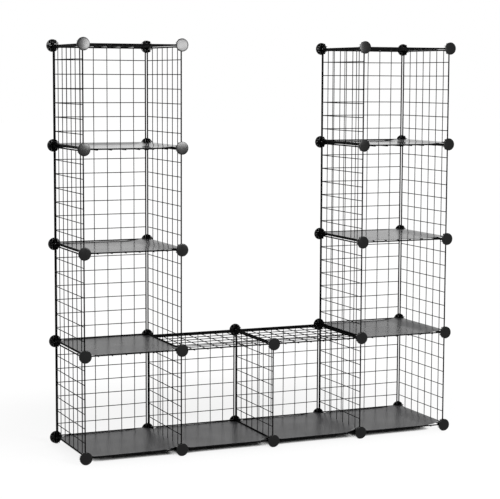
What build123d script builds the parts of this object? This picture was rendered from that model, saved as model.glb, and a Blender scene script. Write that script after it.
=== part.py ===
from build123d import *
import os

# U-shaped wire cube storage unit. Millimetres, +Z up, the open fronts face -Y.
# The origin is on the floor, under the middle of the unit.

# Wire panel: a square of thick frame wire with thin wires welded across it each way.
panel_size = 350.0
frame_wire = 5.0
inner_wire = 3.0
inner_count = 6
inner_spacing = 51.0
frame_bend = 6.0
weld_depth = 0.5
lap_past_bar = 1.5
crossing_gap = 0.05

# Cubes: each panel's frame wire runs beside the cube's edge line, clear of its neighbours.
edge_offset = 5.8
cube_pitch = panel_size - frame_wire + 2 * edge_offset
column_count = 5
tower_height = 4

# Connector: a domed round plate with a cross-shaped hub, grooved for the frame wires.
plate_diameter = 45.6
plate_thickness = 3.4
dome_rise = 0.6
rim_rounding = 1.6
hub_half_width = 10.2
hub_reach = 21.5
hub_height = 10.0
hub_rounding = 1.0
wire_clearance = 0.1

# Shelf sheet: thin plastic, set clear of the wires on its left, its corners cut to clear the hubs.
sheet_width = 348.0
sheet_depth = 350.6
sheet_thickness = 1.0
sheet_corner_cut = 27.0
sheet_shift = 1.3
sheet_gap = 0.1

plate_radius = plate_diameter / 2
lap_height = frame_wire / 2 + inner_wire / 2 - weld_depth
groove_width = frame_wire + 2 * wire_clearance
plate_inner_face = -groove_width / 2

# A shelf grid lies with its lapped wires below, apart from this one, which is the other way up.
upturned_shelf = "right_shelf_grid_3"


def cube_corner(column, row, level):
    """Centre of the connector at a corner of the cubes: row 0 is the front, row 1 the back."""
    x = (column - (column_count - 1) / 2) * cube_pitch
    y = (row - 0.5) * cube_pitch
    z = plate_radius + level * cube_pitch
    return Vector(x, y, z)


def wire_panel():
    """A panel lying flat: wires along Y lap over the frame, wires along X butt into it."""
    reach = (panel_size - frame_wire) / 2
    loop = Wire(RectangleRounded(2 * reach, 2 * reach, frame_bend).edges())
    section = Plane(origin=loop @ 0, z_dir=loop % 0) * Circle(frame_wire / 2)
    frame = sweep(section, path=loop)
    butt_height = lap_height - inner_wire - crossing_gap
    lapped_wire = Rot(X=90) * Cylinder(inner_wire / 2, 2 * (reach + lap_past_bar))
    butted_wire = Rot(Y=90) * Cylinder(inner_wire / 2, 2 * reach)
    wires = []
    for index in range(inner_count):
        place = (index - (inner_count - 1) / 2) * inner_spacing
        wires.append(Pos(place, 0, lap_height) * lapped_wire)
        wires.append(Pos(0, place, butt_height) * butted_wire)
    return frame + wires


def connector_plate():
    """The round plate, domed on its outer face, which looks to -Y."""
    rim = plate_inner_face - plate_thickness
    crown = rim - dome_rise
    edges = Polyline((0, crown), (0, plate_inner_face), (plate_radius, plate_inner_face), (plate_radius, rim))
    dome = TangentArc((0, crown), (plate_radius, rim), tangent=(1, 0))
    half_section = make_face([edges, dome])
    outer_rim = half_section.vertices().group_by(Axis.X)[-1].sort_by(Axis.Y)[0]
    return revolve(fillet(outer_rim, rim_rounding), Axis.Y)


def connector_hub():
    """The cross on the plate's inner face, before its grooves are cut."""
    depth = hub_height - plate_inner_face
    bar = Box(2 * hub_half_width, depth, 2 * hub_reach)
    cross = bar + Rot(Y=90) * bar
    cross &= Rot(X=90) * Cylinder(hub_reach, depth)
    cross = fillet(cross.faces().sort_by(Axis.Y)[-1].edges(), hub_rounding)
    return Pos(0, plate_inner_face + depth / 2, 0) * cross


def hub_grooves():
    """Grooves open to +Y: one along each arm, and one bent round each corner between arms."""
    inner_end = edge_offset - groove_width / 2
    far = 2 * hub_reach
    arm_groove = Box(groove_width, far, far, align=(Align.CENTER, Align.MIN, Align.MIN))
    arm_groove = Pos(0, inner_end, inner_end) * arm_groove
    bend = FilletPolyline(
        (edge_offset, far), (edge_offset, edge_offset), (far, edge_offset), radius=frame_bend
    )
    groove_floor = Plane(origin=(0, plate_inner_face, 0), x_dir=(1, 0, 0), z_dir=(0, -1, 0))
    corner_groove = extrude(groove_floor * trace(bend, groove_width), -far)
    return [Rot(Y=90 * turn) * groove for turn in range(4) for groove in (arm_groove, corner_groove)]


def connector():
    """One connector at the origin, its plate to -Y and its hub to +Y."""
    return connector_plate() + (connector_hub() - hub_grooves())


def shelf_sheet():
    """A sheet lying flat, its underside at height zero."""
    outline = chamfer(Rectangle(sheet_width, sheet_depth).vertices(), sheet_corner_cut)
    return extrude(outline, sheet_thickness)


def side_plane(column, level):
    """Upright plane across a column's edge; its lapped wires stand on the +X side."""
    middle = (cube_corner(column, 0, level) + cube_corner(column, 1, level + 1)) / 2
    return Plane(origin=middle, x_dir=(0, 1, 0), z_dir=(1, 0, 0))


def back_plane(column, level):
    """Upright plane across a cube's back; its lapped wires stand to the rear."""
    middle = (cube_corner(column, 1, level) + cube_corner(column + 1, 1, level + 1)) / 2
    return Plane(origin=middle, x_dir=(-1, 0, 0), z_dir=(0, 1, 0))


def level_plane(column, level, upturned=False):
    """Level plane under or over a cube; its lapped wires hang below unless it is upturned."""
    middle = (cube_corner(column, 0, level) + cube_corner(column + 1, 1, level)) / 2
    return Plane(origin=middle, x_dir=(1, 0, 0), z_dir=(0, 0, 1 if upturned else -1))


def sheet_place(column, level, upturned):
    """Where a sheet rests: on the frame wire, or on the lapped wires of an upturned grid."""
    support = lap_height + inner_wire / 2 if upturned else frame_wire / 2
    middle = (cube_corner(column, 0, level) + cube_corner(column + 1, 1, level)) / 2
    return Pos(middle + Vector(sheet_shift, 0, support + sheet_gap))


def connector_column(piece, column, levels):
    """The connectors of one column, front and back, as separate solids in one group."""
    pieces = []
    for level in range(levels):
        pieces.append(Pos(cube_corner(column, 0, level)) * piece)
        pieces.append(Pos(cube_corner(column, 1, level)) * Rot(Z=180) * piece)
    return Compound(children=pieces)


def cube_nodes(nodes, cube, number, column, level, panel, sheet):
    """Back panel, shelf grid and sheet of one cube; number is empty for a single cube."""
    grid_name = f"{cube}_shelf_grid{number}"
    upturned = grid_name == upturned_shelf
    nodes[f"{cube}_back{number}"] = back_plane(column, level) * panel
    nodes[grid_name] = level_plane(column, level, upturned) * panel
    nodes[f"{cube}_shelf_sheet{number}"] = sheet_place(column, level, upturned) * sheet


def storage_unit():
    """Every piece of the unit, by the name of its node."""
    panel = wire_panel()
    sheet = shelf_sheet()
    piece = connector()
    nodes = {}
    tower_sides = {"left_outer": 0, "left_inner": 1, "right_inner": 3, "right_outer": 4}
    for name, column in tower_sides.items():
        for level in range(tower_height):
            nodes[f"{name}_side_{level + 1}"] = side_plane(column, level) * panel
        nodes[f"{name}_connectors"] = connector_column(piece, column, tower_height + 1)
    nodes["middle_divider"] = side_plane(2, 0) * panel
    nodes["middle_connectors"] = connector_column(piece, 2, 2)
    for name, column in {"left": 0, "right": 3}.items():
        for level in range(tower_height):
            cube_nodes(nodes, name, f"_{level + 1}", column, level, panel, sheet)
        nodes[f"{name}_top"] = level_plane(column, tower_height) * panel
    for name, column in {"middle_left": 1, "middle_right": 2}.items():
        cube_nodes(nodes, name, "", column, 0, panel, sheet)
        nodes[f"{name}_top"] = level_plane(column, 1) * panel
    return nodes


os.makedirs("parts", exist_ok=True)
for node, shape in storage_unit().items():
    export_step(shape, f"parts/{node}.step")
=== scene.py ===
"""Wire cube storage unit: welded panels, clip-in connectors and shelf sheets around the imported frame."""

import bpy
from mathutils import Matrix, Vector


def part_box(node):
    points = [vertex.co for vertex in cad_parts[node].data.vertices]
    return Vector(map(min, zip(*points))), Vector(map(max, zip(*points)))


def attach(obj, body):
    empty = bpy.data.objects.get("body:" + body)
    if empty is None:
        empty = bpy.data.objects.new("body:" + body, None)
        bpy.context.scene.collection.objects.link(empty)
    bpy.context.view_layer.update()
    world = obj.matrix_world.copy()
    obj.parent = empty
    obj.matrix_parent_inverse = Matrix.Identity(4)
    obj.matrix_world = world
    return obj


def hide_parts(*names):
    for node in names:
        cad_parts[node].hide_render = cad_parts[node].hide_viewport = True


bl_info = {
    "name": "Wire Cube Storage Unit",
    "version": (1, 0, 0),
    "blender": (4, 5, 0),
    "location": "View3D > Sidebar > Storage Unit",
    "description": "Builds the wire panels, connectors and shelf sheets of a cube storage unit",
    "category": "Object",
}

import math
import random

import bmesh
import bpy
from bpy.props import FloatProperty, FloatVectorProperty, IntProperty, PointerProperty
from mathutils import Matrix, Vector

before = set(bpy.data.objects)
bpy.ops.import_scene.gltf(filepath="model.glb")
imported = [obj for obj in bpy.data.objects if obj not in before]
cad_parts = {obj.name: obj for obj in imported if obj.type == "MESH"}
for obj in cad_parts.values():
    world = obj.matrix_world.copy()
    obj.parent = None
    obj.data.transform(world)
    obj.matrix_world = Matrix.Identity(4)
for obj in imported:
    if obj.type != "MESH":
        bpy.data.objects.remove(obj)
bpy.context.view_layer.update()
BODY = "root"
MM = 0.001
QUARTER_TURN = math.pi / 2
SHARP_ANGLE = math.radians(35)
MERGE_DISTANCE = 0.005 * MM

NODES = sorted(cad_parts)
CONNECTOR_NODES = [node for node in NODES if node.endswith("_connectors")]
SHEET_NODES = [node for node in NODES if "_sheet" in node]
PANEL_NODES = [node for node in NODES if node not in CONNECTOR_NODES + SHEET_NODES]

# Pieces that lie unlike the rest: an upturned grid, two low right edges and a raised back edge
UPTURNED_GRID = "right_shelf_grid_3"
UPTURNED_SHEET = "right_shelf_sheet_3"
LOW_RIGHT_SHEETS = ("left_shelf_sheet_2", "middle_left_shelf_sheet")
HIGH_BACK_SHEETS = ("left_shelf_sheet_4",)


def node_size(node):
    """Width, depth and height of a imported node."""
    low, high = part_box(node)
    return high - low


PANEL_SIZE = node_size("left_outer_side_1").y
PLATE_DIAMETER = node_size("middle_connectors").x
CUBE_PITCH = node_size("middle_connectors").z - PLATE_DIAMETER
SHEET_WIDTH, SHEET_DEPTH, SHEET_THICKNESS = node_size("left_shelf_sheet_1")
PLATE_DEPTH = (node_size("middle_connectors").y - CUBE_PITCH) / 2


class WirePanelSettings(bpy.types.PropertyGroup):
    """Sizes and finish of the welded wire panels."""
    frame_wire: FloatProperty(
        name="Frame Wire", description="Diameter of the wire round a panel",
        default=5.0 * MM, subtype="DISTANCE")
    inner_wire: FloatProperty(
        name="Inner Wire", description="Diameter of the wires across a panel",
        default=3.0 * MM, subtype="DISTANCE")
    inner_count: IntProperty(
        name="Inner Wires", description="Wires across a panel each way", default=6, min=1)
    inner_spacing: FloatProperty(
        name="Spacing", description="Distance between neighbouring inner wires",
        default=51 * MM, subtype="DISTANCE")
    corner_bend: FloatProperty(
        name="Corner Bend", description="Radius of the frame wire's middle line at a corner",
        default=6 * MM, subtype="DISTANCE")
    weld_depth: FloatProperty(
        name="Weld Depth", description="How far a lapped wire is sunk into the frame wire",
        default=0.5 * MM, subtype="DISTANCE")
    wire_bow: FloatProperty(
        name="Wire Bow", description="Largest bow of an inner wire between its welds",
        default=0.7 * MM, subtype="DISTANCE")
    coating: FloatVectorProperty(
        name="Coating", description="Colour of the coating on the wires",
        default=(0.004, 0.004, 0.0042), size=3, subtype="COLOR")


class ConnectorSettings(bpy.types.PropertyGroup):
    """Sizes and finish of the connectors."""
    rim_rounding: FloatProperty(
        name="Rim Rounding", description="Radius of the plate's outer rim",
        default=1.6 * MM, subtype="DISTANCE")
    dome_rise: FloatProperty(
        name="Dome", description="Rise of the plate's outer face from rim to middle",
        default=0.6 * MM, subtype="DISTANCE")
    hub_half_width: FloatProperty(
        name="Hub Half Width", description="Half the width of an arm of the hub",
        default=10.2 * MM, subtype="DISTANCE")
    hub_reach: FloatProperty(
        name="Hub Reach", description="Length of an arm of the hub from the middle",
        default=21.5 * MM, subtype="DISTANCE")
    hub_height: FloatProperty(
        name="Hub Height", description="Height of the hub over the cubes' corner point",
        default=10 * MM, subtype="DISTANCE")
    groove_width: FloatProperty(
        name="Groove", description="Width of the grooves that hold the frame wires",
        default=5.2 * MM, subtype="DISTANCE")
    groove_offset: FloatProperty(
        name="Groove Offset", description="Distance of the bent grooves from the middle line",
        default=5.8 * MM, subtype="DISTANCE")
    plastic: FloatVectorProperty(
        name="Plastic", description="Colour of the connectors",
        default=(0.002, 0.002, 0.0021), size=3, subtype="COLOR")


class SheetSettings(bpy.types.PropertyGroup):
    """Shape and finish of the shelf sheets."""
    corner_cut: FloatProperty(
        name="Corner Cut", description="Length cut from each side at a corner",
        default=27 * MM, subtype="DISTANCE")
    corner_fold: FloatProperty(
        name="Corner Fold", description="Length of each side that bends up at a front corner",
        default=55 * MM, subtype="DISTANCE")
    corner_slope: FloatProperty(
        name="Corner Slope", description="Largest steepness of a bent front corner on the floor",
        default=0.6)
    upper_slope: FloatProperty(
        name="Upper Slope", description="Largest steepness of a bent front corner higher up",
        default=0.27)
    left_share: FloatProperty(
        name="Left Share", description="How much of that steepness a left front corner has",
        default=0.1, min=0)
    edge_strip: FloatProperty(
        name="Edge Strip", description="Width of the strip that bends up where an edge lies on a bar",
        default=85 * MM, subtype="DISTANCE")
    edge_height: FloatProperty(
        name="Edge Height",
        description="Height of an edge that lies on a bar, over the middle of the connectors",
        default=8.6 * MM, subtype="DISTANCE")
    edge_overhang: FloatProperty(
        name="Edge Overhang", description="How far an edge that lies on a bar reaches over it",
        default=3.4 * MM, subtype="DISTANCE")
    sag: FloatProperty(
        name="Sag", description="How far a sheet's middle hangs between the frame wires",
        default=0.9 * MM, subtype="DISTANCE")
    ripple: FloatProperty(
        name="Ripple", description="Height of the slow ripples in a sheet",
        default=0.3 * MM, subtype="DISTANCE")
    plastic: FloatVectorProperty(
        name="Plastic", description="Colour of the sheets",
        default=(0.024, 0.024, 0.026), size=3, subtype="COLOR")


class StageSettings(bpy.types.PropertyGroup):
    """Floor, light and camera."""
    floor_colour: FloatVectorProperty(
        name="Floor", description="Colour of the floor",
        default=(0.92, 0.92, 0.92), size=3, subtype="COLOR")
    floor_glow: FloatProperty(
        name="Floor Glow", description="White that the open floor shows to the camera in any light",
        default=0.9, min=0, max=1)
    floor_shade: FloatProperty(
        name="Floor Shade", description="Share of the floor's colour that the light adds to the glow",
        default=0.13, min=0, max=1)
    # Painted shadow: the floor's glow is painted greyer in a soft pool behind the unit.
    painted_shadow_behind: FloatProperty(
        name="Pool Behind", description="How far behind the unit's middle the floor is greyest",
        default=0.5, subtype="DISTANCE")
    painted_shadow_width: FloatProperty(
        name="Pool Width", description="Half the width of the greyer floor",
        default=1.6, subtype="DISTANCE")
    painted_shadow_depth: FloatProperty(
        name="Pool Depth", description="Half the depth of the greyer floor",
        default=1.0, subtype="DISTANCE")
    painted_shadow_grey: FloatProperty(
        name="Pool Grey", description="How much less the greyest floor glows",
        default=0.12, min=0, max=1)
    camera_place: FloatVectorProperty(
        name="Camera", description="Place of the camera",
        default=(-2.342, -5.329, 1.334), size=3, subtype="XYZ")
    camera_yaw: FloatProperty(
        name="Yaw", description="Turn of the camera to the right",
        default=math.radians(23.56), subtype="ANGLE")
    camera_pitch: FloatProperty(
        name="Pitch", description="Tilt of the camera downwards",
        default=math.radians(6.16), subtype="ANGLE")
    camera_roll: FloatProperty(
        name="Roll", description="Roll of the camera", default=math.radians(-0.25), subtype="ANGLE")
    camera_lens: FloatProperty(
        name="Lens", description="Focal length in millimetres on a 36 mm wide sensor", default=113.9)
    key_place: FloatVectorProperty(
        name="Key Light", description="Place of the key light",
        default=(1.05, -3.9, 1.54), size=3, subtype="XYZ")
    key_target: FloatVectorProperty(
        name="Key Target", description="Point that the key light is aimed at",
        default=(-0.3, 0, 1.1), size=3, subtype="XYZ")
    key_size: FloatVectorProperty(
        name="Key Size", description="Width and height of the key light in metres",
        default=(1.1, 0.8), size=2, min=0)
    key_power: FloatProperty(
        name="Key Power", description="Power of the key light", default=155.0, subtype="POWER")


class UnitSettings(bpy.types.PropertyGroup):
    """All settings of the storage unit."""
    panels: PointerProperty(type=WirePanelSettings)
    connectors: PointerProperty(type=ConnectorSettings)
    sheets: PointerProperty(type=SheetSettings)
    stage: PointerProperty(type=StageSettings)


def unit_settings():
    """The scene's settings for the unit."""
    return bpy.context.scene.cube_storage_unit


def finish_piece(bm, node, name, material):
    """Makes an object of a bmesh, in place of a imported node."""
    mesh = bpy.data.meshes.new(name)
    bm.to_mesh(mesh)
    bm.free()
    mesh.shade_smooth()
    mesh.set_sharp_from_angle(angle=SHARP_ANGLE)
    mesh.materials.append(material)
    piece = bpy.data.objects.new(name, mesh)
    bpy.context.scene.collection.objects.link(piece)
    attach(piece, BODY)
    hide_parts(node)


# Materials


GRAIN_GROUP = "fine grain"
GRAIN_DEPTH = 0.1 * MM
NOISE_DETAIL = {"Mottle": 4.0, "Grain": 2.0}
MOTTLE_SPREAD = (0.3, 0.7)
COATING_IOR = 1.15


def combine(nodes, links, operation, first, second):
    """Joins two sockets with a Math node. Returns the result's socket."""
    node = nodes.new("ShaderNodeMath")
    node.operation = operation
    links.new(first, node.inputs[0])
    links.new(second, node.inputs[1])
    return node.outputs[0]


def map_range(nodes, links, value, before, after, interpolation="LINEAR"):
    """Maps a socket's value from one range to another. Returns the result's socket."""
    node = nodes.new("ShaderNodeMapRange")
    node.interpolation_type = interpolation
    node.inputs["From Min"].default_value, node.inputs["From Max"].default_value = before
    node.inputs["To Min"].default_value, node.inputs["To Max"].default_value = after
    links.new(value, node.inputs["Value"])
    return node.outputs["Result"]


def fine_grain_group():
    """Shared surface variation: slow mottling and a fine grain, both from Object coordinates."""
    group = bpy.data.node_groups.new(GRAIN_GROUP, "ShaderNodeTree")
    nodes, links = group.nodes, group.links
    inputs = nodes.new("NodeGroupInput")
    outputs = nodes.new("NodeGroupOutput")
    place = nodes.new("ShaderNodeTexCoord")
    for result, detail in NOISE_DETAIL.items():
        size = f"{result} Scale"
        group.interface.new_socket(name=size, in_out="INPUT", socket_type="NodeSocketFloat")
        group.interface.new_socket(name=result, in_out="OUTPUT", socket_type="NodeSocketFloat")
        noise = nodes.new("ShaderNodeTexNoise")
        noise.inputs["Detail"].default_value = detail
        links.new(place.outputs["Object"], noise.inputs["Vector"])
        links.new(inputs.outputs[size], noise.inputs["Scale"])
        links.new(noise.outputs["Fac"], outputs.inputs[result])
    return group


def grained_material(name, colour, light_share, rough_range, gloss, mottle_scale, grain_scale, bump):
    """A material whose colour and roughness drift slowly, with a fine grain in its surface."""
    material = bpy.data.materials.new(name)
    material.use_nodes = True
    nodes, links = material.node_tree.nodes, material.node_tree.links
    shader = nodes["Principled BSDF"]
    shader.inputs["Specular IOR Level"].default_value = gloss
    grain = nodes.new("ShaderNodeGroup")
    grain.node_tree = bpy.data.node_groups.get(GRAIN_GROUP) or fine_grain_group()
    grain.inputs["Mottle Scale"].default_value = mottle_scale
    grain.inputs["Grain Scale"].default_value = grain_scale
    mottle = grain.outputs["Mottle"]
    tint = nodes.new("ShaderNodeMix")
    tint.data_type = "RGBA"
    tint.inputs["A"].default_value = (*[part * (1 - light_share) for part in colour], 1)
    tint.inputs["B"].default_value = (*[part * (1 + light_share) for part in colour], 1)
    links.new(mottle, tint.inputs["Factor"])
    links.new(tint.outputs["Result"], shader.inputs["Base Color"])
    rough = map_range(nodes, links, mottle, MOTTLE_SPREAD, rough_range)
    links.new(rough, shader.inputs["Roughness"])
    relief = nodes.new("ShaderNodeBump")
    relief.inputs["Strength"].default_value = bump
    relief.inputs["Distance"].default_value = GRAIN_DEPTH
    links.new(grain.outputs["Grain"], relief.inputs["Height"])
    links.new(relief.outputs["Normal"], shader.inputs["Normal"])
    return material


def smooth_at_low_angle(material, start, end, least):
    """Lowers roughness to a least share of itself as the view grazes, which sharpens reflections."""
    nodes, links = material.node_tree.nodes, material.node_tree.links
    rough = nodes["Principled BSDF"].inputs["Roughness"]
    grazing = nodes.new("ShaderNodeLayerWeight")
    share = map_range(nodes, links, grazing.outputs["Facing"], (start, end), (1.0, least))
    links.new(combine(nodes, links, "MULTIPLY", rough.links[0].from_socket, share), rough)


def wire_coating():
    """Smooth black coating on the steel wire, which stays dark where the round wire turns away."""
    colour = unit_settings().panels.coating
    material = grained_material(
        "black wire coating", colour, light_share=0.25, rough_range=(0.42, 0.55), gloss=0.05,
        mottle_scale=45, grain_scale=700, bump=0.08)
    material.node_tree.nodes["Principled BSDF"].inputs["IOR"].default_value = COATING_IOR
    return material


def connector_plastic():
    """Black moulded plastic of the connectors."""
    colour = unit_settings().connectors.plastic
    return grained_material(
        "black connector plastic", colour, light_share=0.2, rough_range=(0.17, 0.23), gloss=0.17,
        mottle_scale=60, grain_scale=900, bump=0.04)


def sheet_plastic():
    """Dark grey satin plastic of the shelf sheets."""
    colour = unit_settings().sheets.plastic
    material = grained_material(
        "grey sheet plastic", colour, light_share=0.12, rough_range=(0.30, 0.36), gloss=0.14,
        mottle_scale=9, grain_scale=1100, bump=0.02)
    smooth_at_low_angle(material, start=0.80, end=0.96, least=0.33)
    return material


# Wire panels


BOW_SEED = 7
FRAME_SIDES = 12
BEND_STEPS = 6
WIRE_SIDES = 8
WIRE_SPANS = 8
LAP_PAST_BAR = 1.5 * MM
WELD_FLATNESS = 0.8

# As shares of an inner wire's diameter
CROSSING_DEPTH = 0.98
WELD_RADIUS = 0.56
WELD_SINK = 0.4


def linked_edges(verts):
    """Edges at some vertices, each once and in a fixed order."""
    return list(dict.fromkeys(edge for vert in verts for edge in vert.link_edges))


def extrude_ring(bm, ring, matrix):
    """Extrudes a ring of edges and moves the new ring by a matrix. Returns the new ring."""
    made = bmesh.ops.extrude_edge_only(bm, edges=ring)["geom"]
    moved = [item for item in made if isinstance(item, bmesh.types.BMVert)]
    bmesh.ops.transform(bm, matrix=matrix, verts=moved)
    return [item for item in made if isinstance(item, bmesh.types.BMEdge)]


def add_panel_frame(bm, settings):
    """The thick wire round a panel: four straight runs and four bent corners."""
    reach = (PANEL_SIZE - settings.frame_wire) / 2
    straight = reach - settings.corner_bend
    section = Matrix.Translation((reach, -straight, 0)) @ Matrix.Rotation(QUARTER_TURN, 4, "X")
    made = bmesh.ops.create_circle(
        bm, segments=FRAME_SIDES, radius=settings.frame_wire / 2, matrix=section)
    ring = linked_edges(made["verts"])
    for side in range(4):
        turn = Matrix.Rotation(side * QUARTER_TURN, 4, "Z")
        ring = extrude_ring(bm, ring, Matrix.Translation(turn @ Vector((0, 2 * straight, 0))))
        bend = bmesh.ops.spin(
            bm, geom=ring, cent=turn @ Vector((straight, straight, 0)), axis=(0, 0, 1),
            angle=QUARTER_TURN, steps=BEND_STEPS, use_duplicate=False)
        ring = [item for item in bend["geom_last"] if isinstance(item, bmesh.types.BMEdge)]


def add_bowed_wire(bm, settings, length, place, bow):
    """One inner wire along Y with capped ends, bowed sideways between them."""
    start = Matrix.Translation((0, -length / 2, 0)) @ Matrix.Rotation(QUARTER_TURN, 4, "X")
    made = bmesh.ops.create_circle(
        bm, cap_ends=True, segments=WIRE_SIDES, radius=settings.inner_wire / 2, matrix=start)
    verts = list(made["verts"])
    ring = linked_edges(verts)
    for span in range(WIRE_SPANS):
        ring = extrude_ring(bm, ring, Matrix.Translation((0, length / WIRE_SPANS, 0)))
        verts += dict.fromkeys(vert for edge in ring for vert in edge.verts)
    bmesh.ops.edgeloop_fill(bm, edges=ring)
    for vert in verts:
        vert.co.x += bow * math.cos(math.pi * vert.co.y / length)
    bmesh.ops.transform(bm, matrix=place, verts=verts)


def add_weld(bm, settings, place):
    """A small bead of weld where two wires meet."""
    flat = Matrix.Translation(place) @ Matrix.Diagonal((1.0, 1.0, WELD_FLATNESS, 1.0))
    bmesh.ops.create_icosphere(
        bm, subdivisions=2, radius=settings.inner_wire * WELD_RADIUS, matrix=flat)


def wire_panel(settings, chance):
    """A panel lying flat: wires along Y lap over the frame, wires along X butt into it."""
    bm = bmesh.new()
    add_panel_frame(bm, settings)
    reach = (PANEL_SIZE - settings.frame_wire) / 2
    lap_height = (settings.frame_wire + settings.inner_wire) / 2 - settings.weld_depth
    butt_height = lap_height - settings.inner_wire * CROSSING_DEPTH
    bar_weld_height = lap_height - settings.inner_wire * WELD_SINK
    lap_length = 2 * (reach + LAP_PAST_BAR)
    across = Matrix.Rotation(QUARTER_TURN, 4, "Z")
    places = [(index - (settings.inner_count - 1) / 2) * settings.inner_spacing
              for index in range(settings.inner_count)]
    for place in places:
        lapped = Matrix.Translation((place, 0, lap_height))
        butted = Matrix.Translation((0, place, butt_height)) @ across
        add_bowed_wire(bm, settings, lap_length, lapped, chance.uniform(-1, 1) * settings.wire_bow)
        add_bowed_wire(bm, settings, 2 * reach, butted, chance.uniform(-1, 1) * settings.wire_bow)
        for end in (-reach, reach):
            add_weld(bm, settings, (place, end, bar_weld_height))
        for other in places:
            add_weld(bm, settings, (place, other, (lap_height + butt_height) / 2))
    bmesh.ops.remove_doubles(bm, verts=bm.verts, dist=MERGE_DISTANCE)
    bmesh.ops.recalc_face_normals(bm, faces=bm.faces)
    return bm


def lap_direction(node):
    """Way that lapped wires face: right at the sides, rearward at the backs, else down or up."""
    if "_side_" in node or node == "middle_divider":
        return Vector((1, 0, 0))
    if "_back" in node:
        return Vector((0, 1, 0))
    return Vector((0, 0, 1 if node == UPTURNED_GRID else -1))


def panel_place(node, settings):
    """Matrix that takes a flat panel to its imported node's place."""
    outward = lap_direction(node)
    upward = Vector((0, 1, 0)) if outward.z else Vector((0, 0, 1))
    sideways = upward.cross(outward)
    low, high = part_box(node)
    depth = abs((high - low).dot(outward))
    middle = (low + high) / 2 - outward * (depth / 2 - settings.frame_wire / 2)
    turn = Matrix((sideways, upward, outward)).transposed().to_4x4()
    return Matrix.Translation(middle) @ turn


class STORAGE_OT_wire_panels(bpy.types.Operator):
    """Build every welded wire panel"""
    bl_idname = "cube_storage.wire_panels"
    bl_label = "Wire Panels"

    def execute(self, context):
        settings = unit_settings().panels
        material = wire_coating()
        chance = random.Random(BOW_SEED)
        for node in PANEL_NODES:
            bm = wire_panel(settings, chance)
            bmesh.ops.transform(bm, matrix=panel_place(node, settings), verts=bm.verts)
            finish_piece(bm, node, f"{node}_wires", material)
        return {"FINISHED"}


# Connectors


PLATE_SEGMENTS = 48
FACE_STEPS = 6
RIM_STEPS = 6
BACK_CHAMFER = 0.4 * MM
WALL_ROUNDING = 0.2 * MM
WALL_SINK = 0.3 * MM
WALL_OVERLAP = 0.2 * MM
GROOVE_STEPS = 5


def plate_profile(settings):
    """Half section of the plate as (radius, depth) points, from its crown round to its back."""
    radius = PLATE_DIAMETER / 2
    crown = -PLATE_DEPTH
    inner = -settings.groove_width / 2
    flat_edge = radius - settings.rim_rounding
    points = []
    for step in range(FACE_STEPS + 1):
        out = flat_edge * step / FACE_STEPS
        points.append((out, crown + settings.dome_rise * (out / radius) ** 2))
    corner_depth = points[-1][1] + settings.rim_rounding
    for step in range(1, RIM_STEPS + 1):
        angle = QUARTER_TURN * step / RIM_STEPS
        points.append((flat_edge + settings.rim_rounding * math.sin(angle),
                       corner_depth - settings.rim_rounding * math.cos(angle)))
    points.append((radius, inner - BACK_CHAMFER))
    points.append((radius - BACK_CHAMFER, inner))
    points.append((0.0, inner))
    return points


def add_plate(bm, settings):
    """The round plate, spun about Y."""
    verts = [bm.verts.new((out, depth, 0)) for out, depth in plate_profile(settings)]
    edges = [bm.edges.new(pair) for pair in zip(verts, verts[1:])]
    bmesh.ops.spin(
        bm, geom=verts + edges, cent=(0, 0, 0), axis=(0, 1, 0), angle=2 * math.pi,
        steps=PLATE_SEGMENTS, use_merge=True, use_duplicate=False)


def add_wall(bm, outline, foot, top, turn):
    """A wall on a closed outline of (x, z) points, along Y from foot to top, with a rounded top edge."""
    verts = [bm.verts.new((x, foot, z)) for x, z in outline]
    base = bm.faces.new(verts)
    made = bmesh.ops.extrude_face_region(bm, geom=[base])["geom"]
    raised = [item for item in made if isinstance(item, bmesh.types.BMVert)]
    bmesh.ops.translate(bm, verts=raised, vec=(0, top - foot, 0))
    rim = [item for item in made if isinstance(item, bmesh.types.BMEdge)]
    rounded = bmesh.ops.bevel(
        bm, geom=rim, offset=WALL_ROUNDING, offset_type="OFFSET", affect="EDGES", segments=2,
        profile=0.5, material=-1)
    verts = set(verts) | {vert for vert in raised if vert.is_valid} | set(rounded["verts"])
    bmesh.ops.rotate(bm, verts=list(verts), cent=(0, 0, 0), matrix=Matrix.Rotation(turn, 3, "Y"))


def corner_wall_outline(settings, bend):
    """Wall in the corner between two arms: its inner side follows the frame wire's bent corner."""
    inner = settings.groove_offset + settings.groove_width / 2
    outer = settings.hub_half_width
    inner_end = math.sqrt(settings.hub_reach ** 2 - inner ** 2)
    outer_end = math.sqrt(settings.hub_reach ** 2 - outer ** 2)
    centre = settings.groove_offset + bend
    radius = bend - settings.groove_width / 2
    points = [(inner, inner_end), (outer, outer_end), (outer, outer)]
    points += [(outer_end, outer), (inner_end, inner)]
    for step in range(GROOVE_STEPS + 1):
        angle = QUARTER_TURN * (3 - step / GROOVE_STEPS)
        points.append((centre + radius * math.cos(angle), centre + radius * math.sin(angle)))
    return points


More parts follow.
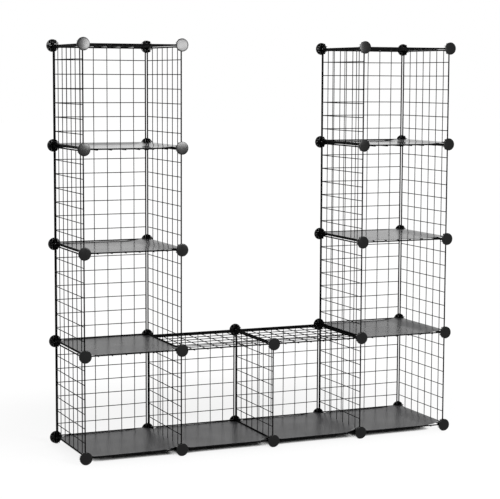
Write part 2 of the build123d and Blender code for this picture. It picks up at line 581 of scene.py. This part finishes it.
def connector(settings, bend):
    """One connector at the corner of the cubes, its plate to -Y and its hub to +Y."""
    bm = bmesh.new()
    add_plate(bm, settings)
    foot = -settings.groove_width / 2 - WALL_SINK
    core = settings.groove_offset - settings.groove_width / 2
    slot = settings.groove_width / 2
    reach = settings.hub_reach - WALL_OVERLAP
    rib_start = core - WALL_OVERLAP
    post = [(-core, -core), (core, -core), (core, core), (-core, core)]
    groove_floor = [(-core, core), (core, core), (core, reach), (-core, reach)]
    rib = [(slot, rib_start), (core, rib_start), (core, reach), (slot, reach)]
    mirrored_rib = [(-x, z) for x, z in reversed(rib)]
    add_wall(bm, post, foot, settings.hub_height, 0)
    for quarter in range(4):
        turn = quarter * QUARTER_TURN
        add_wall(bm, corner_wall_outline(settings, bend), foot, settings.hub_height, turn)
        add_wall(bm, groove_floor, foot, core, turn)
        add_wall(bm, rib, foot, settings.hub_height, turn)
        add_wall(bm, mirrored_rib, foot, settings.hub_height, turn)
    bmesh.ops.remove_doubles(bm, verts=bm.verts, dist=MERGE_DISTANCE)
    bmesh.ops.recalc_face_normals(bm, faces=bm.faces)
    return bm


class STORAGE_OT_connectors(bpy.types.Operator):
    """Build the connectors of every column"""
    bl_idname = "cube_storage.connectors"
    bl_label = "Connectors"

    def execute(self, context):
        settings = unit_settings().connectors
        material = connector_plastic()
        single = connector(settings, unit_settings().panels.corner_bend)
        pattern = bpy.data.meshes.new("connector pattern")
        single.to_mesh(pattern)
        single.free()
        facing_back = Matrix.Rotation(math.pi, 4, "Z")
        for node in CONNECTOR_NODES:
            low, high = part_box(node)
            levels = round((high.z - low.z - PLATE_DIAMETER) / CUBE_PITCH) + 1
            bm = bmesh.new()
            for level in range(levels):
                height = low.z + PLATE_DIAMETER / 2 + level * CUBE_PITCH
                for side, turn in ((-1, Matrix.Identity(4)), (1, facing_back)):
                    place = Vector(((low.x + high.x) / 2, side * CUBE_PITCH / 2, height))
                    before = len(bm.verts)
                    bm.from_mesh(pattern)
                    bm.verts.ensure_lookup_table()
                    placing = Matrix.Translation(place) @ turn
                    bmesh.ops.transform(bm, matrix=placing, verts=bm.verts[before:])
            finish_piece(bm, node, f"{node}_moulded", material)
        bpy.data.meshes.remove(pattern)
        return {"FINISHED"}


# Shelf sheets


SHEET_SEED = 3
SHEET_CELLS = 44
RIPPLE_ACROSS = 2.1
RIPPLE_ALONG = 1.7
FOLD_EASE = 6 * MM
LEAST_STEEPNESS = 0.5


def sheet_drift(settings, x, y, phase, sag):
    """Height of a sheet's slow ripples and its sag; x and y run from -1 to 1."""
    hollow = sag * (1 - x * x) * (1 - y * y)
    ripple = math.sin(RIPPLE_ACROSS * x + phase) * math.cos(RIPPLE_ALONG * y + 2 * phase)
    return settings.ripple * (1 + ripple) - hollow


def corner_lift(settings, place, slopes):
    """Rise of a sheet towards its front corners; slopes are those of the left and the right one."""
    fold = (SHEET_WIDTH + SHEET_DEPTH) / 2 - settings.corner_fold
    past = max(0.0, (abs(place.x) - place.y - fold) / math.sqrt(2))
    slope = slopes[0] if place.x < 0 else slopes[1]
    return slope * past ** 2 / (past + FOLD_EASE)


def bar_share(settings, inset):
    """How far a point lies into an edge's strip, eased from 0 to 1; inset is its distance from the edge."""
    share = min(max(1 - inset / settings.edge_strip, 0.0), 1.0)
    return share * share * (3 - 2 * share)


def shelf_sheet(settings, chance, sag, slope, right_rise, back_rise):
    """A sheet with bent front corners and a sagging middle; its right and back edges may rise onto bars."""
    bm = bmesh.new()
    bmesh.ops.create_grid(bm, x_segments=SHEET_CELLS, y_segments=SHEET_CELLS, size=0.5)
    bmesh.ops.scale(bm, vec=(SHEET_WIDTH, SHEET_DEPTH, 1), verts=bm.verts)
    for x_side in (-1, 1):
        for y_side in (-1, 1):
            corner = Vector((x_side * (SHEET_WIDTH - settings.corner_cut) / 2,
                             y_side * (SHEET_DEPTH - settings.corner_cut) / 2, 0))
            bmesh.ops.bisect_plane(
                bm, geom=bm.verts[:] + bm.edges[:] + bm.faces[:], plane_co=corner,
                plane_no=(x_side, y_side, 0), clear_outer=True)
    phase = chance.uniform(0, 2 * math.pi)
    shares = (settings.left_share, 1)
    slopes = [slope * share * chance.uniform(LEAST_STEEPNESS, 1) for share in shares]
    for vert in bm.verts:
        across, along = 2 * vert.co.x / SHEET_WIDTH, 2 * vert.co.y / SHEET_DEPTH
        drift = sheet_drift(settings, across, along, phase, sag)
        right = bar_share(settings, SHEET_WIDTH / 2 - vert.co.x) if right_rise else 0.0
        back = bar_share(settings, SHEET_DEPTH / 2 - vert.co.y) if back_rise else 0.0
        lift = corner_lift(settings, vert.co, slopes)
        vert.co += Vector((right * settings.edge_overhang, back * settings.edge_overhang,
                           drift + max(lift, right * right_rise, back * back_rise)))
    bmesh.ops.recalc_face_normals(bm, faces=bm.faces)
    bmesh.ops.solidify(bm, geom=bm.faces[:], thickness=SHEET_THICKNESS)
    return bm


class STORAGE_OT_shelf_sheets(bpy.types.Operator):
    """Build the plastic sheet on every shelf"""
    bl_idname = "cube_storage.shelf_sheets"
    bl_label = "Shelf Sheets"

    def execute(self, context):
        settings = unit_settings().sheets
        material = sheet_plastic()
        chance = random.Random(SHEET_SEED)
        for node in SHEET_NODES:
            low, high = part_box(node)
            sag = 0.0 if node == UPTURNED_SHEET else settings.sag
            slope = settings.upper_slope if low.z > CUBE_PITCH else settings.corner_slope
            rise = settings.edge_height - (low.z - PLATE_DIAMETER / 2) % CUBE_PITCH
            right_rise = 0.0 if node in LOW_RIGHT_SHEETS else rise
            back_rise = rise if node in HIGH_BACK_SHEETS else 0.0
            bm = shelf_sheet(settings, chance, sag, slope, right_rise, back_rise)
            foot = Vector(((low.x + high.x) / 2, (low.y + high.y) / 2, low.z))
            bmesh.ops.translate(bm, verts=bm.verts, vec=foot)
            finish_piece(bm, node, f"{node}_plastic", material)
        return {"FINISHED"}


# Stage


FLOOR_HALF_SIZE = 40.0
FLOOR_ROUGHNESS = 0.9
FLOOR_GLOSS = 0.1
# Painted shade: ambient occlusion fades the floor's glow under the unit.
PAINTED_SHADE_REACH = 0.3
PAINTED_SHADE_SAMPLES = 64
PAINTED_SHADE_RANGE = (0.04, 0.12)
FRONT_TO_BACK = (-0.6, 0.2)
FRONT_TO_BACK_LIGHT = (0.22, 1.0)
SENSOR_WIDTH = 36.0
VIEW_END = 200.0


def background_rays(nodes, links):
    """1 for rays that see a white background: from the camera, off a gloss or through glass."""
    rays = nodes.new("ShaderNodeLightPath")
    seen = rays.outputs["Is Camera Ray"]
    for kind in ("Is Glossy Ray", "Is Transmission Ray"):
        seen = combine(nodes, links, "MAXIMUM", seen, rays.outputs[kind])
    return seen


def painted_shade_share(nodes, links):
    """Share of the glow that the floor keeps, as painted shade from ambient occlusion: none deep under the
    unit, and all of it in the open.
    """
    cover = nodes.new("ShaderNodeAmbientOcclusion")
    cover.samples = PAINTED_SHADE_SAMPLES
    cover.inputs["Distance"].default_value = PAINTED_SHADE_REACH
    return map_range(nodes, links, cover.outputs["AO"], PAINTED_SHADE_RANGE, (0, 1), "SMOOTHSTEP")


def glow_with_painted_shadow(settings, nodes, links):
    """Strength of the floor's glow, less in a soft pool of painted shadow behind the unit."""
    place = nodes.new("ShaderNodeTexCoord")
    pool = nodes.new("ShaderNodeMapping")
    pool.vector_type = "TEXTURE"
    pool.inputs["Location"].default_value = (0, settings.painted_shadow_behind, 0)
    pool.inputs["Scale"].default_value = (settings.painted_shadow_width, settings.painted_shadow_depth, 1)
    links.new(place.outputs["Object"], pool.inputs["Vector"])
    distance = nodes.new("ShaderNodeVectorMath")
    distance.operation = "LENGTH"
    links.new(pool.outputs["Vector"], distance.inputs[0])
    # Painted shadow: the glow drops by the grey share towards the pool's middle.
    glow = (settings.floor_glow - settings.painted_shadow_grey, settings.floor_glow)
    return map_range(nodes, links, distance.outputs["Value"], (0, 1), glow, "SMOOTHSTEP")


def floor_paint(settings):
    """Pale paint that glows as a white background where the floor is open; the glow has painted shade under
    the unit and a painted shadow behind it, and the paint's own shading adds real shadow.
    """
    material = bpy.data.materials.new("pale floor")
    material.use_nodes = True
    nodes, links = material.node_tree.nodes, material.node_tree.links
    paint = nodes["Principled BSDF"]
    paint.inputs["Roughness"].default_value = FLOOR_ROUGHNESS
    paint.inputs["Specular IOR Level"].default_value = FLOOR_GLOSS
    seen = background_rays(nodes, links)
    shaded = [part * settings.floor_shade for part in settings.floor_colour]
    colour = nodes.new("ShaderNodeMix")
    colour.data_type = "RGBA"
    colour.inputs["A"].default_value = (*settings.floor_colour, 1)
    colour.inputs["B"].default_value = (*shaded, 1)
    links.new(seen, colour.inputs["Factor"])
    links.new(colour.outputs["Result"], paint.inputs["Base Color"])
    # Painted shade and shadow: the glow is lowered in the pool behind the unit and by ambient occlusion
    # under it.
    strength = glow_with_painted_shadow(settings, nodes, links)
    for factor in (painted_shade_share(nodes, links), seen):
        strength = combine(nodes, links, "MULTIPLY", strength, factor)
    glow = nodes.new("ShaderNodeEmission")
    links.new(strength, glow.inputs["Strength"])
    both = nodes.new("ShaderNodeAddShader")
    links.new(paint.outputs["BSDF"], both.inputs[0])
    links.new(glow.outputs["Emission"], both.inputs[1])
    links.new(both.outputs["Shader"], nodes["Material Output"].inputs["Surface"])
    return material


def stage_floor(settings):
    """A pale floor, white away from the unit's shadow, which is partly real and partly painted into its
    glow.
    """
    bm = bmesh.new()
    bmesh.ops.create_grid(bm, x_segments=1, y_segments=1, size=FLOOR_HALF_SIZE)
    mesh = bpy.data.meshes.new("floor")
    bm.to_mesh(mesh)
    bm.free()
    mesh.materials.append(floor_paint(settings))
    floor = bpy.data.objects.new("floor", mesh)
    bpy.context.scene.collection.objects.link(floor)


def stage_world():
    """White as a background, and a light that is dimmer from the front."""
    world = bpy.data.worlds.new("studio")
    bpy.context.scene.world = world
    world.use_nodes = True
    nodes, links = world.node_tree.nodes, world.node_tree.links
    sky = nodes["Background"]
    sky.inputs["Color"].default_value = (1, 1, 1, 1)
    place = nodes.new("ShaderNodeTexCoord")
    parts = nodes.new("ShaderNodeSeparateXYZ")
    links.new(place.outputs["Generated"], parts.inputs["Vector"])
    light = map_range(nodes, links, parts.outputs["Y"], FRONT_TO_BACK, FRONT_TO_BACK_LIGHT)
    level = combine(nodes, links, "MAXIMUM", light, background_rays(nodes, links))
    links.new(level, sky.inputs["Strength"])


def stage_key_light(settings):
    """A soft rectangular light in front of the unit."""
    lamp = bpy.data.lights.new("key light", "AREA")
    lamp.shape = "RECTANGLE"
    lamp.size, lamp.size_y = settings.key_size
    lamp.energy = settings.key_power
    light = bpy.data.objects.new("key light", lamp)
    light.location = settings.key_place
    aim = Vector(settings.key_target) - Vector(settings.key_place)
    light.rotation_euler = aim.to_track_quat("-Z", "Y").to_euler()
    bpy.context.scene.collection.objects.link(light)


def stage_camera(settings):
    """The camera at the photograph's viewing angle."""
    lens = bpy.data.cameras.new("camera")
    lens.lens = settings.camera_lens
    lens.sensor_width = SENSOR_WIDTH
    lens.sensor_fit = "HORIZONTAL"
    lens.clip_end = VIEW_END
    camera = bpy.data.objects.new("camera", lens)
    yaw = Matrix.Rotation(-settings.camera_yaw, 4, "Z")
    pitch = Matrix.Rotation(-settings.camera_pitch, 4, "X")
    roll = Matrix.Rotation(settings.camera_roll, 4, "Y")
    upright = Matrix.Rotation(QUARTER_TURN, 4, "X")
    camera.matrix_world = Matrix.Translation(settings.camera_place) @ yaw @ pitch @ roll @ upright
    bpy.context.scene.collection.objects.link(camera)
    bpy.context.scene.camera = camera


class STORAGE_OT_stage(bpy.types.Operator):
    """Set up the floor, the light and the camera"""
    bl_idname = "cube_storage.stage"
    bl_label = "Stage"

    def execute(self, context):
        settings = unit_settings().stage
        stage_floor(settings)
        stage_world()
        stage_key_light(settings)
        stage_camera(settings)
        context.scene.view_settings.view_transform = "Standard"
        return {"FINISHED"}


class STORAGE_PT_sidebar(bpy.types.Panel):
    """Sizes, colours and build steps of the storage unit"""
    bl_idname = "STORAGE_PT_sidebar"
    bl_label = "Wire Cube Storage Unit"
    bl_space_type = "VIEW_3D"
    bl_region_type = "UI"
    bl_category = "Storage Unit"

    def draw(self, context):
        settings = context.scene.cube_storage_unit
        for title, group, operator in (
                ("Panels", settings.panels, STORAGE_OT_wire_panels),
                ("Connectors", settings.connectors, STORAGE_OT_connectors),
                ("Sheets", settings.sheets, STORAGE_OT_shelf_sheets),
                ("Stage", settings.stage, STORAGE_OT_stage)):
            section = self.layout.box()
            section.label(text=title)
            for key in group.__annotations__:
                section.prop(group, key)
            section.operator(operator.bl_idname)


CLASSES = (
    WirePanelSettings, ConnectorSettings, SheetSettings, StageSettings, UnitSettings,
    STORAGE_OT_wire_panels, STORAGE_OT_connectors, STORAGE_OT_shelf_sheets, STORAGE_OT_stage,
    STORAGE_PT_sidebar,
)


def register():
    """Registers the classes and the scene's settings."""
    for cls in CLASSES:
        bpy.utils.register_class(cls)
    bpy.types.Scene.cube_storage_unit = PointerProperty(type=UnitSettings)


def unregister():
    """Takes the settings and the classes out again."""
    del bpy.types.Scene.cube_storage_unit
    for cls in reversed(CLASSES):
        bpy.utils.unregister_class(cls)


def main():
    register()
    bpy.ops.cube_storage.wire_panels()
    bpy.ops.cube_storage.connectors()
    bpy.ops.cube_storage.shelf_sheets()
    bpy.ops.cube_storage.stage()


if __name__ == "__main__":
    main()
